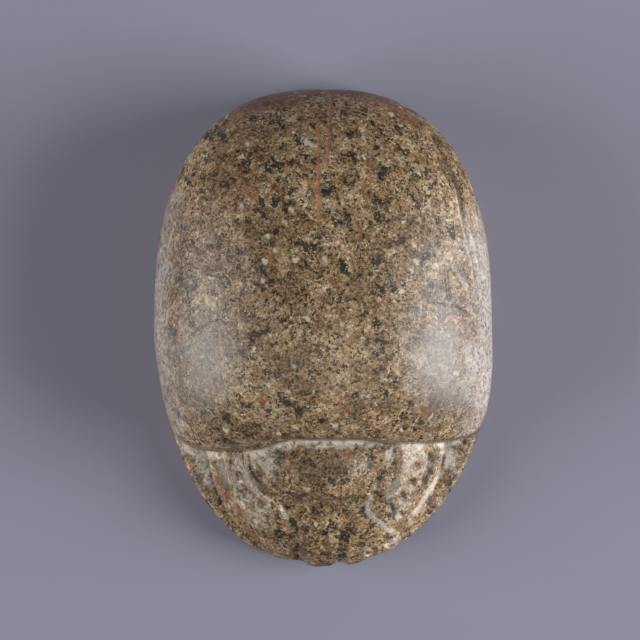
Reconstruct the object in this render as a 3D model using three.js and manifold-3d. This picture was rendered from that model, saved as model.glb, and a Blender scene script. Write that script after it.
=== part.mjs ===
// A scarab amulet carved from a single piece of speckled stone: a beetle on a thin oval base.
// Millimetres, +Z up. The head points to -Y and the origin is the middle of the flat underside.
import * as THREE from 'three';
import { mergeVertices } from 'three/addons/utils/BufferGeometryUtils.js';
import Module from 'manifold-3d';

// ---- Overall size ----
const LENGTH = 58;
const WIDTH = 41;
const HEIGHT = 24;

// ---- Plan outlines: half superellipses that share one width, fuller at the tail than at the head ----
const HEAD_FULLNESS = 2.1;
const TAIL_FULLNESS = 2.54;
const LEAN = 0.38; // the hand-carved outline sways this far to the right
const LEAN_AT = 10; // and most at this distance ahead of the middle

// ---- Base plate ----
const PLATE_TOP = 3.6;
const PLATE_EDGE = 0.5; // its worn rounding
const PLATE_FRONT = 27.9; // the snout overhangs the plate's broken front edge

// ---- Back: wing cases and thorax in one dome ----
const WAIST = 8.75; // height of the dome's lower edge at the sides and tail
const LIP = 13; // height of the thorax's front edge where it reaches furthest forward
const DOME_POWER = 2.2;
const THORAX_REACH = 13.3; // front edge of the thorax on the middle line, ahead of the middle
const THORAX_STEPS = { left: [1.5, 3, 8.6], right: [0.45, 4, 8] }; // the edge steps forward on
// each side: how far, and the distances aside where the step starts and ends
const THORAX_SPAN = THORAX_REACH + THORAX_STEPS.left[0];
const SHOULDER = 11; // sharpness of the corner between the thorax's front edge and its sides
const RECESS = 1.7; // the flank stands back this far below the waist
const RECESS_LEVEL = -0.3; // share of the way down the flank where it is fully set back
const RECESS_FADE = 8; // the recess fades out where the front wall leaves the base outline
const FOOT = 1.5; // the dome runs down into the plate to here
const FLANK_LEVELS = [-1, -0.5, -0.3, -0.2, -0.1];

// ---- Front: a low mound that carries head, clypeus and forelegs ----
const MOUND = { centre: [0.3, -10.8, 0], size: [15.4, 17.3, 12.4] };
const HEAD = { centre: [-0.4, -16.2, 9.2], size: [7.5, 4.3, 3.3], isFull: true };
const EYES = [[-7.7, -16.6, 9.1], [8.1, -16, 9.1]];
const EYE_SIZE = [1.3, 2, 1.2];
const CLYPEUS_CROWN = { centre: [0.9, -18.3, 0], size: [15, 12.4, 9.9] };
const CLYPEUS_BACK = 13;
const CLYPEUS_NECK = 20.3; // the narrow place behind the fan
const CLYPEUS_WIDE = 25; // the widest place of the fan
const CLYPEUS_FOOT = 2;
const RIM_CHANNEL = { angles: [0.2, 0.42], shares: [0.85, 0.95], steps: 6, radius: 0.9, lift: 0.5 };

// ---- Cutting and facets ----
const GROOVE = { radius: 0.5, lift: 0.18 };
const PLAN_STEPS = 72;
const PLAN_ROUNDS = 12;
const DOME_ROWS = 14;
const LIMB_SIDES = 8;
const LIMB_STEPS = 8;
const MERGE = 1e-4;

const stone = new THREE.MeshStandardMaterial({ color: 0x79664f, roughness: 0.55, metalness: 0 });

// ---- Shape rules ----
// Sideways shift of the whole carving at a place along its length.
function lean(y) {
  const ahead = Math.max(0, -y / LEAN_AT);
  return LEAN * ahead ** 2 * Math.exp(2 * (1 - ahead));
}

// How far out a point lies in the base outline: 0 in the middle, 1 on the outline.
function baseShare(x, y) {
  const power = y > 0 ? TAIL_FULLNESS : HEAD_FULLNESS;
  const across = Math.abs((x - lean(y)) / (WIDTH / 2)) ** power;
  const along = Math.abs(y / (LENGTH / 2)) ** power;
  return (across + along) ** (1 / power);
}

// How far ahead of the middle the thorax's front edge lies.
function thoraxReach(x) {
  const [left, leftFrom, leftTo] = THORAX_STEPS.left;
  const [right, rightFrom, rightTo] = THORAX_STEPS.right;
  return THORAX_REACH + left * THREE.MathUtils.smoothstep(-x, leftFrom, leftTo)
    + right * THREE.MathUtils.smoothstep(x, rightFrom, rightTo);
}

// The same for the back, which the thorax's front edge cuts short.
function bodyShare(x, y) {
  const share = baseShare(x, y);
  if (y > 0) {
    return share;
  }
  return (share ** SHOULDER + Math.abs(y / thoraxReach(x)) ** SHOULDER) ** (1 / SHOULDER);
}

// The point at an angle round the middle where a share rule reaches the wanted value.
function planPoint(shareRule, angle, wanted = 1) {
  const ray = new THREE.Vector2((WIDTH / 2) * Math.cos(angle), (LENGTH / 2) * Math.sin(angle));
  const point = ray.clone().multiplyScalar(wanted);
  for (let round = 0; round < PLAN_ROUNDS && wanted > 0; round += 1) {
    point.multiplyScalar(wanted / shareRule(point.x, point.y));
  }
  return point;
}

// Half the width of the base outline at a place along the length.
function halfWidthAt(y) {
  const power = y > 0 ? TAIL_FULLNESS : HEAD_FULLNESS;
  return (WIDTH / 2) * (1 - Math.abs(y / (LENGTH / 2)) ** power) ** (1 / power);
}

function arch(share) {
  return (1 - Math.min(1, Math.abs(share)) ** DOME_POWER) ** 0.5;
}

// Height of the back over any point inside its outline: one dome behind the middle, and ahead of
// it a spine that falls towards the lip, with an arch across it.
function backHeight(x, y) {
  if (y > 0) {
    return WAIST + (HEIGHT - WAIST) * arch(baseShare(x, y));
  }
  const spine = LIP + (HEIGHT - LIP) * arch(y / THORAX_SPAN);
  return WAIST + (spine - WAIST) * arch((x - lean(y)) / halfWidthAt(y));
}

function moundHeight(x, y) {
  const across = (x - MOUND.centre[0]) / MOUND.size[0];
  const along = (y - MOUND.centre[1]) / MOUND.size[1];
  return MOUND.size[2] * Math.sqrt(Math.max(0, 1 - across ** 2 - along ** 2));
}

// ---- Solids ----
const wasm = await Module();
wasm.setup();

// Turns a closed three.js geometry into a solid for joining and cutting.
function solid(geometry) {
  geometry.deleteAttribute('normal');
  geometry.deleteAttribute('uv');
  const merged = mergeVertices(geometry, MERGE);
  const corners = merged.getIndex().array;
  const triangles = [];
  for (let i = 0; i < corners.length; i += 3) {
    const [a, b, c] = corners.slice(i, i + 3);
    if (a !== b && b !== c && c !== a) {
      triangles.push(a, b, c);
    }
  }
  return new wasm.Manifold(new wasm.Mesh({
    numProp: 3,
    vertProperties: new Float32Array(merged.getAttribute('position').array),
    triVerts: new Uint32Array(triangles),
  }));
}

// Moves every vertex of a geometry to the place that rule gives for it.
function reshape(geometry, rule) {
  const position = geometry.getAttribute('position');
  const vertex = new THREE.Vector3();
  for (let i = 0; i < position.count; i += 1) {
    vertex.fromBufferAttribute(position, i);
    rule(vertex);
    position.setXYZ(i, vertex.x, vertex.y, vertex.z);
  }
  return geometry;
}

// A dome whose flat foot is at the height of its centre; a full one is closed below as well.
function mound({ centre, size, isFull = false }, columns = 32, rows = 8) {
  const from = isFull ? -rows : 0;
  const profile = isFull ? [] : [new THREE.Vector2(0, 0)];
  for (let row = from; row <= rows; row += 1) {
    const turn = (row / rows) * (Math.PI / 2);
    const onAxis = Math.abs(row) === rows;
    profile.push(new THREE.Vector2(onAxis ? 0 : Math.cos(turn), Math.sin(turn)));
  }
  const geometry = new THREE.LatheGeometry(profile, columns).rotateX(Math.PI / 2);
  geometry.scale(...size);
  geometry.translate(...centre);
  return solid(geometry);
}

// A limb or a cutter: a cylinder laid along a smooth path, tapering from one radius to the other.
function limb(points, startRadius, endRadius = startRadius, steps = LIMB_STEPS, sides = LIMB_SIDES) {
  const path = new THREE.CatmullRomCurve3(points.map((point) => new THREE.Vector3(...point)));
  const up = new THREE.Vector3(0, 0, 1);
  const cylinder = new THREE.CylinderGeometry(endRadius, startRadius, 1, sides, steps);
  return solid(reshape(cylinder, (vertex) => {
    const along = THREE.MathUtils.clamp(vertex.y + 0.5, 0, 1);
    const tangent = path.getTangentAt(along);
    const side = new THREE.Vector3().crossVectors(tangent, up).normalize();
    const rise = new THREE.Vector3().crossVectors(side, tangent);
    const { x, z } = vertex;
    vertex.copy(path.getPointAt(along)).addScaledVector(side, x).addScaledVector(rise, z);
  }));
}

function basePlate() {
  const outline = [];
  for (let step = 0; step < PLAN_STEPS; step += 1) {
    const point = planPoint(baseShare, (step / PLAN_STEPS) * 2 * Math.PI);
    point.y = Math.max(point.y, -PLATE_FRONT);
    outline.push(point);
  }
  return solid(new THREE.ExtrudeGeometry(new THREE.Shape(outline), {
    depth: PLATE_TOP - 2 * PLATE_EDGE,
    bevelThickness: PLATE_EDGE,
    bevelSize: PLATE_EDGE,
    bevelOffset: -PLATE_EDGE,
    bevelSegments: 2,
  }).translate(0, 0, PLATE_EDGE));
}

// The lathe turns a shell of radius 1 whose height is 1 at the crown, 0 at the waist and -1 at
// the foot; each vertex then moves out to the back's outline and heights.
function body() {
  const profile = [new THREE.Vector2(0, -1)];
  for (const level of FLANK_LEVELS) {
    profile.push(new THREE.Vector2(1, level));
  }
  for (let row = 0; row <= DOME_ROWS; row += 1) {
    const turn = (row / DOME_ROWS) * (Math.PI / 2);
    profile.push(new THREE.Vector2(row === DOME_ROWS ? 0 : Math.cos(turn), Math.sin(turn)));
  }
  const shell = new THREE.LatheGeometry(profile, PLAN_STEPS).rotateX(Math.PI / 2);
  return solid(reshape(shell, (vertex) => {
    const level = vertex.z;
    const point = planPoint(bodyShare, Math.atan2(vertex.y, vertex.x), Math.hypot(vertex.x, vertex.y));
    vertex.x = point.x;
    vertex.y = point.y;
    vertex.z = backHeight(point.x, point.y);
    if (level < 0) {
      const depth = Math.sin(Math.min(1, level / RECESS_LEVEL) * (Math.PI / 2));
      const inset = RECESS * depth * baseShare(point.x, point.y) ** RECESS_FADE;
      const reach = Math.hypot(point.x, point.y);
      vertex.x -= (inset * point.x) / reach;
      vertex.y -= (inset * point.y) / reach;
      vertex.z += (vertex.z - FOOT) * level;
    }
  }));
}

// The snout: a fan in plan, with a chipped front edge, under a gently crowned top.
function clypeus() {
  const fan = new THREE.Shape();
  fan.moveTo(-5.2, -CLYPEUS_BACK);
  fan.lineTo(-5.2, -CLYPEUS_NECK);
  fan.lineTo(-6.2, -CLYPEUS_WIDE);
  fan.quadraticCurveTo(-5.6, -27.2, -3.5, -27.3);
  fan.lineTo(-2.8, -28.4);
  fan.quadraticCurveTo(-1.6, -LENGTH / 2, -0.6, -LENGTH / 2);
  fan.lineTo(1.2, -28.8);
  fan.lineTo(2.1, -27.9);
  fan.lineTo(2.6, -28.8);
  fan.lineTo(4.4, -28.7);
  fan.quadraticCurveTo(7.2, -27.6, 8.4, -CLYPEUS_WIDE);
  fan.lineTo(5.8, -CLYPEUS_NECK);
  fan.lineTo(5.8, -CLYPEUS_BACK);
  const block = new THREE.ExtrudeGeometry(fan, {
    depth: HEIGHT / 2 - CLYPEUS_FOOT,
    bevelEnabled: false,
    curveSegments: 5,
  }).translate(0, 0, CLYPEUS_FOOT);
  return solid(block).intersect(mound(CLYPEUS_CROWN, 40, 10));
}

// The forelegs lie along the mound on both sides of the clypeus, sunk into it at both ends.
function forelegs() {
  const routes = [
    { places: [[-11.4, -12.5], [-10.4, -17], [-8.9, -20.5], [-6.6, -24.6]], from: 1.5, to: 1.9 },
    { places: [[10.7, -12.5], [10.5, -17], [9.8, -20.5], [9, -24.6]], from: 2.7, to: 1.3 },
  ];
  return routes.map(({ places, from, to }) => (
    limb(places.map(([x, y]) => [x, y, moundHeight(x, y)]), from, to)
  ));
}

// Legs folded against the flanks, in the recess between the wing cases and the plate. Each place
// is a distance along the body, a height, and how far the leg's middle stands out of the flank.
function flankLegs() {
  const routes = [
    { places: [[-1.5, 8.4, -1.2], [-5, 7.8, 0.1], [-9.5, 6.6, 0.1], [-13.5, 5.4, -1]], radius: 1.4 },
    { places: [[-1.5, 7.4, -1.2], [2, 6.6, 0.1], [6, 5.2, 0.1], [9.5, 4, -1.2]], radius: 1.3 },
    { places: [[8, 8, -1.2], [12, 7.2, 0.1], [16, 5.4, 0.2], [20.5, 4.9, 0.1], [24, 4.8, -1]], radius: 1.3 },
  ];
  const legs = [];
  for (const side of [-1, 1]) {
    for (const { places, radius } of routes) {
      legs.push(limb(places.map(([y, z, out]) => (
        [side * (halfWidthAt(y) - RECESS + out) + lean(y), y, z]
      )), radius, radius, 12));
    }
  }
  return legs;
}

// Hollow between the base's raised rim and each foreleg, closing in on the rim towards the front.
function rimChannels() {
  const { angles, shares, steps, radius, lift } = RIM_CHANNEL;
  return [-1, 1].map((side) => {
    const places = [];
    for (let step = 0; step <= steps; step += 1) {
      const turn = Math.PI * THREE.MathUtils.lerp(...angles, step / steps);
      const share = THREE.MathUtils.lerp(...shares, step / steps);
      const point = planPoint(baseShare, side > 0 ? -turn : turn - Math.PI, share);
      places.push([point.x, point.y, PLATE_TOP + lift]);
    }
    return limb(places, radius, radius, 16);
  });
}

// Engraved lines of the back: the wing-case seam and the side borders.
function backLines() {
  const lines = [
    [[0.9, 27.5], [0.6, 24], [0.5, 20]],
    [[-0.6, 25], [-0.4, 19], [-0.3, 12.7]],
  ];
  for (const side of [-1, 1]) {
    lines.push([[side * 14, 23.5], [side * 16.6, 16], [side * 17.4, 10], [side * 18.1, 5]]);
  }
  return lines.map((places) => (
    limb(places.map(([x, y]) => [x, y, backHeight(x, y) + GROOVE.lift]), GROOVE.radius, GROOVE.radius, 10, 6)
  ));
}

function scarab() {
  const parts = [body(), mound(MOUND), mound(HEAD, 28, 7), clypeus(), ...forelegs(), ...flankLegs()];
  for (const centre of EYES) {
    parts.push(mound({ centre, size: EYE_SIZE, isFull: true }, 14, 4));
  }
  let carved = basePlate();
  for (const part of parts) {
    carved = carved.add(part);
  }
  for (const cutter of [...rimChannels(), ...backLines()]) {
    carved = carved.subtract(cutter);
  }
  const { vertProperties, triVerts } = carved.getMesh();
  const geometry = new THREE.BufferGeometry();
  geometry.setAttribute('position', new THREE.BufferAttribute(vertProperties, 3));
  geometry.setIndex(new THREE.BufferAttribute(triVerts, 1));
  geometry.computeVertexNormals();
  const mesh = new THREE.Mesh(geometry, stone);
  mesh.name = 'scarab';
  return mesh;
}

const amulet = new THREE.Group();
amulet.add(scarab());

export default amulet;
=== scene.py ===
"""A scarab amulet: a beetle carved from one piece of speckled stone, on a thin oval base.

The carving's sizes are in millimetres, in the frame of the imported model: the head points to -Y,
+Z is up and the underside lies on z = 0. The mesh is scaled to metres when it is made.
"""
import math

import bpy
import numpy as np
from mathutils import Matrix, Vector


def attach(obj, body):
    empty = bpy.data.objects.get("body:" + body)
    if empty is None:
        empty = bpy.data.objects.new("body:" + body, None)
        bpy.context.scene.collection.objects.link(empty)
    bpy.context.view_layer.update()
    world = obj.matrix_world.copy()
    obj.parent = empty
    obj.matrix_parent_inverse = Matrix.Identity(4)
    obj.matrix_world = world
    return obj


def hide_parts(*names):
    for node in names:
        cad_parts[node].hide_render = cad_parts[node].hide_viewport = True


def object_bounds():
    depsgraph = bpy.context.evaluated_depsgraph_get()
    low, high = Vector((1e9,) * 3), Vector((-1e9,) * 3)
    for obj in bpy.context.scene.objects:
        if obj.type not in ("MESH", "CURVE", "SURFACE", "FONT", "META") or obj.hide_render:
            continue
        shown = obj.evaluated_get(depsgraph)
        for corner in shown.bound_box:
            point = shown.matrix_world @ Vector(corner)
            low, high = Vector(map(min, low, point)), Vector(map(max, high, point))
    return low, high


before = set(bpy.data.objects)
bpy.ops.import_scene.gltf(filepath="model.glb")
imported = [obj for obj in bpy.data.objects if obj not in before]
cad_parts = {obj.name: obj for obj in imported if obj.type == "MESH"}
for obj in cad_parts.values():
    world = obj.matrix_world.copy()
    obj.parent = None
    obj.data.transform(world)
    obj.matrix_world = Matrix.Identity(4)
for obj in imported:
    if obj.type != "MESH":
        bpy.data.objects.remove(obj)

MM = 0.001
CAD_LOW, CAD_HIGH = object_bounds()

# ---- Overall size: length and height from the imported model, width given ----
LENGTH = (CAD_HIGH[1] - CAD_LOW[1]) / MM
HEIGHT = (CAD_HIGH[2] - CAD_LOW[2]) / MM
WIDTH = 41.0

# ---- Plan outline ----
HEAD_FULLNESS = 2.1                  # power of the oval ahead of the middle and behind it
TAIL_FULLNESS = 2.54
LEAN = 0.38                          # sideways sway of the head's half, and where it is strongest
LEAN_AT = 10.0
PLAN_ROUNDS = 12                     # rounds of the search for a place on the outline

# ---- Base plate ----
PLATE_TOP = 3.6
PLATE_FRONT = 27.9
RIM_TOP = 4.35
RIM_FALL = 0.6                       # the rim's top drops this much towards its edge
RIM_FALL_WIDTH = 2.5
RIM_PLACES = (13.0, 21.0, 26.0)      # how far ahead of the middle the next two are given
RIM_WIDTHS = (1.7, 1.1, 0.6)
RIM_SLOPES = (2.2, 1.5, 1.0)         # width of the rim's inner slope
CHANNEL_FLOOR = 4.05
EDGE_ROUND = 0.5
LIP_LEVELS = (1.8, 3.0)              # the clypeus's lips stand out of the plate between these heights
LIP_OVERHANG = 1.2

# ---- Back ----
WAIST = 8.75                         # height of the widest level of the flank
LIP = 13.0                           # height of the thorax's front edge at the spine
DOME_POWER = 2.2
THORAX_REACH = 13.0                  # how far ahead of the middle the front edge lies
THORAX_SPAN = 14.8                   # where the spine would come down to the lip
THORAX_LEFT_STEP = (1.5, -3.0, -8.6)  # the front edge steps forward: how far, from where to where
THORAX_RIGHT_STEP = (0.45, 4.0, 8.0)
SHOULDER = 11.0                      # squareness of the thorax's shoulders
THORAX_WALL = 12.0                   # steepness of the wall under the front edge
BACK_FILLET = 0.7                    # fillet between that wall and the front's forms

# ---- Front ----
# Each rounded form has a middle (x, y, z), half sizes (x, y, z), and a fillet where it joins the rest.
FRONT_START = -5.0                   # the back is alone behind this
MOUND = ((0.3, -10.8, 0.0), (15.0, 17.3, 12.1))
MOUND_POWER = 3.0
MOUND_FILLET = 1.6
HEAD = ((-0.4, -16.2, 9.2), (7.5, 4.3, 3.3))
HEAD_FILLET = 0.4
EYES = (((-7.7, -16.6, 9.1), (1.2, 2.0, 1.2)), ((8.1, -16.0, 9.1), (1.3, 2.1, 1.2)))
EYE_FILLET = 0.3
CLYPEUS = ((0.9, -18.3, 0.0), (15.0, 12.4, 9.9))
CLYPEUS_FILLET = 0.6
DOME_FALL = 6.0                      # how fast a rounded form sinks away outside its plan
FAN = ((-5.2, -13.0), (-5.2, -20.3), (-6.0, -23.0), (-6.4, -25.5), (-6.2, -32.0), (8.2, -32.0),
       (8.6, -26.5), (8.2, -24.6), (6.4, -21.6), (5.8, -20.3), (5.8, -13.0))
FAN_MARGIN = 0.1                     # the clypeus is cut down this far outside the fan's outline
FAN_SLOPE = 1.8
FRONT_EDGE = ((-8.0, -26.8), (-6.0, -27.6), (-4.7, -27.8), (-3.6, -27.9), (-3.0, -27.5),
              (-2.5, -28.2), (-1.9, -28.8), (-1.0, -29.0), (0.9, -28.85), (1.4, -28.6),
              (1.9, -28.2), (2.5, -28.5), (3.2, -28.8), (4.5, -28.5), (5.6, -27.9), (7.4, -27.0))
# Chips in the front edge: middle (x, y), half sizes (x, y) and depth.
CHIPS = ((-3.1, -27.9, 1.0, 0.7, 0.22), (2.0, -28.4, 0.6, 0.4, 0.15), (5.7, -27.2, 1.0, 0.7, 0.5),
         (8.4, -26.2, 1.2, 0.5, 0.4), (-6.6, -27.4, 0.8, 0.5, 0.3))
CHIP_SLOPE = (1.15, 0.55)            # where a chip begins and where it is deepest, in half sizes
FRONT_FADE = 3.0                     # the broken edge's shape reaches this far back

# Legs: the outlines (x, y) of the folded forelegs, and places (y, z) along the legs on the flank.
FORELEGS = (
    ((-11.0, -13.0), (-11.4, -15.8), (-11.5, -18.2), (-11.0, -20.3), (-10.0, -21.9), (-8.8, -23.7),
     (-7.4, -25.3), (-5.6, -26.6), (-3.9, -26.8), (-3.7, -25.0), (-4.3, -22.9), (-5.3, -21.3),
     (-6.9, -20.0), (-8.2, -18.4), (-9.3, -16.1), (-9.4, -13.0)),
    ((9.0, -13.0), (9.1, -17.0), (8.6, -19.2), (7.2, -20.3), (6.0, -21.0), (5.4, -21.8), (5.7, -22.5),
     (6.6, -23.1), (7.6, -23.9), (8.6, -24.8), (9.9, -23.5), (11.1, -21.3), (11.8, -19.4),
     (12.4, -17.0), (12.6, -13.0)),
)
FORELEG_RISE = 0.85
FORELEG_EDGE = 0.45                  # half the width of a foreleg's sloping side
LEG_TAPER = 0.08                     # share of a flank leg's length over which its end sinks in
FLANK_LEGS = (
    (((-1.5, 8.4), (-5.0, 7.8), (-9.5, 6.6), (-14.0, 5.2)), 1.45),
    (((-1.5, 7.6), (2.0, 6.7), (6.0, 5.3), (9.5, 4.2)), 1.3),
    (((8.0, 8.2), (12.0, 7.2), (16.0, 5.5), (20.5, 5.0), (24.0, 4.9)), 1.3),
)

# The surface below the waist: how far in and how high, down to the underside.
FLANK_PROFILE = (
    (0.0, 8.75), (0.15, 8.3), (0.6, 7.8), (1.3, 7.3), (1.7, 6.7), (1.75, 6.0), (1.75, 4.2), (1.6, 3.8),
    (1.2, 3.62), (0.5, 3.6), (0.12, 3.45), (0.0, 3.1), (0.0, 0.5), (0.12, 0.12), (0.5, 0.0),
)
LEAST_INSET = 0.1                    # the legs on the flank stay this far inside the outline
FRONT_BLEND = (0.95, 0.35)           # shares of its full height where the flank turns into a plain edge

# ---- Mesh ----
CAP_STEPS = 251                      # vertices along each side of the grid over the top
CAP_SHARE = 0.965                    # the grid ends here and the flank's strip begins
FRONT_DENSITY = 0.15                 # how much closer the grid's rows lie at the head
EDGE_ROWS = 7
FLANK_ROWS = 20


# ---------------------------------------------------------------- shape rules
def smooth_step(low, high, value):
    share = np.clip((value - low) / (high - low), 0.0, 1.0)
    return share * share * (3.0 - 2.0 * share)


def soft_max(a, b, softness):
    """The higher of two surfaces, with a fillet where they cross."""
    share = np.clip(0.5 + 0.5 * (a - b) / softness, 0.0, 1.0)
    return b + (a - b) * share + softness * share * (1.0 - share)


def lean(y):
    """Sideways sway of the hand-carved outline."""
    ahead = np.maximum(0.0, -y / LEAN_AT)
    return LEAN * ahead ** 2 * np.exp(2.0 * (1.0 - ahead))


def base_share(x, y):
    """How far out a place lies in the base outline: 0 in the middle, 1 on the outline."""
    power = np.where(y > 0, TAIL_FULLNESS, HEAD_FULLNESS)
    across = np.abs((x - lean(y)) / (WIDTH / 2)) ** power
    along = np.abs(y / (LENGTH / 2)) ** power
    return (across + along) ** (1.0 / power)


def half_width(y):
    power = np.where(y > 0, TAIL_FULLNESS, HEAD_FULLNESS)
    along = np.minimum(1.0, np.abs(y / (LENGTH / 2)))
    return (WIDTH / 2) * (1.0 - along ** power) ** (1.0 / power)


def plan_point(angle, share):
    """The place at an angle round the middle where base_share has the wanted value."""
    x = WIDTH / 2 * np.cos(angle) * share
    y = LENGTH / 2 * np.sin(angle) * share
    for _ in range(PLAN_ROUNDS):
        scale = share / np.maximum(base_share(x, y), 1e-9)
        x, y = x * scale, y * scale
    return x, y


def arch(share):
    return np.sqrt(1.0 - np.minimum(1.0, np.abs(share)) ** DOME_POWER)


def thorax_reach(x):
    reach = THORAX_REACH
    for step, start, end in (THORAX_LEFT_STEP, THORAX_RIGHT_STEP):
        reach = reach + step * smooth_step(start, end, x)
    return reach


def past_thorax(x, y):
    """How far ahead of the thorax's front edge a place lies, round its shoulders too."""
    share = (base_share(x, y) ** SHOULDER + np.abs(y / thorax_reach(x)) ** SHOULDER) ** (1 / SHOULDER)
    return (share - 1.0) * np.hypot(x, y)


def back_height(x, y):
    """Height of the back; ahead of the thorax's front edge it falls away as a steep wall."""
    behind = WAIST + (HEIGHT - WAIST) * arch(base_share(x, y))
    spine = LIP + (HEIGHT - LIP) * arch(y / THORAX_SPAN)
    across = arch((x - lean(y)) / np.maximum(half_width(y), 1e-6))
    ahead = WAIST + (spine - WAIST) * across - THORAX_WALL * np.maximum(0.0, past_thorax(x, y))
    return np.where(y > 0, behind, ahead)


def dome(shape, x, y, power=2.0):
    """Upper surface of a rounded form; far below the stone outside its plan."""
    (cx, cy, cz), (sx, sy, sz) = shape
    inside = 1.0 - np.abs((x - cx) / sx) ** power - ((y - cy) / sy) ** 2
    return np.where(inside > 0, cz + sz * np.sqrt(np.maximum(inside, 0.0)), cz + DOME_FALL * inside)


def path_distance(x, y, places):
    """Distance to a path of straight stretches, and the nearest place's share of its length."""
    places = np.asarray(places, float)
    nearest = np.full(np.shape(x), 1e9)
    along = np.zeros(np.shape(x))
    count = len(places) - 1
    for i in range(count):
        (ax, ay), (bx, by) = places[i], places[i + 1]
        run = (bx - ax) ** 2 + (by - ay) ** 2
        share = np.clip(((x - ax) * (bx - ax) + (y - ay) * (by - ay)) / run, 0.0, 1.0)
        gap = np.hypot(x - ax - share * (bx - ax), y - ay - share * (by - ay))
        closer = gap < nearest
        nearest = np.where(closer, gap, nearest)
        along = np.where(closer, (i + share) / count, along)
    return nearest, along


def rounded_path(places, steps=6):
    """A smooth path through a few places (Catmull-Rom)."""
    places = np.asarray(places, float)
    ends = np.vstack([2 * places[0] - places[1], places, 2 * places[-1] - places[-2]])
    out = []
    for i in range(1, len(ends) - 2):
        a, b, c, d = ends[i - 1:i + 3]
        for t in np.arange(steps) / steps:
            out.append(0.5 * (2 * b + (c - a) * t + (2 * a - 5 * b + 4 * c - d) * t ** 2
                              + (3 * b - a - 3 * c + d) * t ** 3))
    out.append(places[-1])
    return np.array(out)


def outside(x, y, outline):
    """Distance outside a closed outline, negative inside."""
    corners = rounded_path(outline + outline[:1], 4)
    gap, _ = path_distance(x, y, corners)
    inside = np.zeros(np.shape(x), bool)
    for (ax, ay), (bx, by) in zip(corners, np.roll(corners, -1, axis=0)):
        crosses = (ay > y) != (by > y)
        with np.errstate(divide="ignore", invalid="ignore"):
            inside ^= crosses & (x < (bx - ax) * (y - ay) / (by - ay) + ax)
    return np.where(inside, -gap, gap)


def front_height(x, y):
    """The base's rim and channel, the mound, and head, eyes, clypeus and forelegs on it."""
    share = base_share(x, y)
    from_edge = (1.0 - share) * np.hypot(x, y)
    rim = np.interp(-y, RIM_PLACES, RIM_WIDTHS)
    slope = np.interp(-y, RIM_PLACES, RIM_SLOPES)
    height = CHANNEL_FLOOR + (RIM_TOP - CHANNEL_FLOOR) * smooth_step(rim + slope, rim, from_edge)
    height = height - RIM_FALL * np.clip(1.0 - from_edge / RIM_FALL_WIDTH, 0.0, 1.0)
    height = soft_max(height, dome(MOUND, x, y, MOUND_POWER), MOUND_FILLET)
    for outline in FORELEGS:
        height = height + FORELEG_RISE * smooth_step(FORELEG_EDGE, -FORELEG_EDGE, outside(x, y, outline))
    clypeus = dome(CLYPEUS, x, y) - FAN_SLOPE * np.maximum(0.0, outside(x, y, FAN) - FAN_MARGIN)
    height = soft_max(height, clypeus, CLYPEUS_FILLET)
    height = soft_max(height, dome(HEAD, x, y), HEAD_FILLET)
    for eye in EYES:
        height = soft_max(height, dome(eye, x, y), EYE_FILLET)
    for cx, cy, half_x, half_y, depth in CHIPS:
        gap = np.hypot((x - cx) / half_x, (y - cy) / half_y)
        height = height - depth * smooth_step(*CHIP_SLOPE, gap)
    rounding = np.clip(EDGE_ROUND - from_edge, 0.0, EDGE_ROUND)
    return height - (EDGE_ROUND - np.sqrt(EDGE_ROUND ** 2 - rounding ** 2))


def top_height(x, y):
    back = back_height(x, y)
    front = front_height(x, np.minimum(y, FRONT_START))
    return np.where(y > FRONT_START, back, soft_max(back, front, BACK_FILLET))


def broken_front(x, y, weight):
    """Moves the front outline in to the chipped lips of the clypeus."""
    edge_x, edge_y = np.array(FRONT_EDGE).T
    across = np.minimum(1.0, np.abs(x / (WIDTH / 2)))
    oval = -LENGTH / 2 * (1.0 - across ** HEAD_FULLNESS) ** (1 / HEAD_FULLNESS)
    short = np.interp(x, edge_x, edge_y) - oval
    short = np.where((x > edge_x[0]) & (x < edge_x[-1]), short, 0.0)
    near = smooth_step(0.0, FRONT_FADE, -y - (LENGTH / 2 - FRONT_FADE - 1.0))
    return y + short * near * weight


# ---------------------------------------------------------------- the stone's mesh
def cap_grid():
    """A square grid bent to the oval, with its rows closer together at the head."""
    line = np.linspace(-1.0, 1.0, CAP_STEPS)
    u, v = np.meshgrid(line, line)
    v = v + FRONT_DENSITY * (v * v - 1.0)
    dx = u * np.sqrt(1.0 - v * v / 2.0)
    dy = v * np.sqrt(1.0 - u * u / 2.0)
    angle = np.arctan2(dy, dx)
    share = CAP_SHARE * np.hypot(dx, dy)
    x, y = plan_point(angle, share)
    return x, y, angle


def flank_profile():
    """How far in and how high the surface runs below the waist, sampled evenly."""
    inset, level = np.array(FLANK_PROFILE).T
    length = np.concatenate([[0.0], np.cumsum(np.hypot(np.diff(inset), np.diff(level)))])
    even = np.linspace(0.0, length[-1], FLANK_ROWS + 1)[1:]
    return np.interp(even, length, inset), np.interp(even, length, level)


def front_profile(rim_height):
    """The plain edge of the base at the front, from the rim's height down to the underside."""
    rows = np.linspace(0.0, 1.0, FLANK_ROWS + 1)[1:]
    level = rim_height[None, :] * (1.0 - rows[:, None])
    near = np.clip(EDGE_ROUND - level, 0.0, EDGE_ROUND)
    inset = EDGE_ROUND - np.sqrt(np.maximum(EDGE_ROUND ** 2 - near ** 2, 0.0))
    return inset, level


def leg_relief(y, z):
    """How far the folded legs stand out of the flank."""
    out = np.zeros(np.shape(y))
    for places, radius in FLANK_LEGS:
        gap, along = path_distance(y, z, rounded_path(places))
        ends = smooth_step(0.0, LEG_TAPER, along) * smooth_step(0.0, LEG_TAPER, 1.0 - along)
        out = np.maximum(out, ends * radius * np.sqrt(np.maximum(0.0, 1.0 - (gap / radius) ** 2)))
    return out


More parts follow.
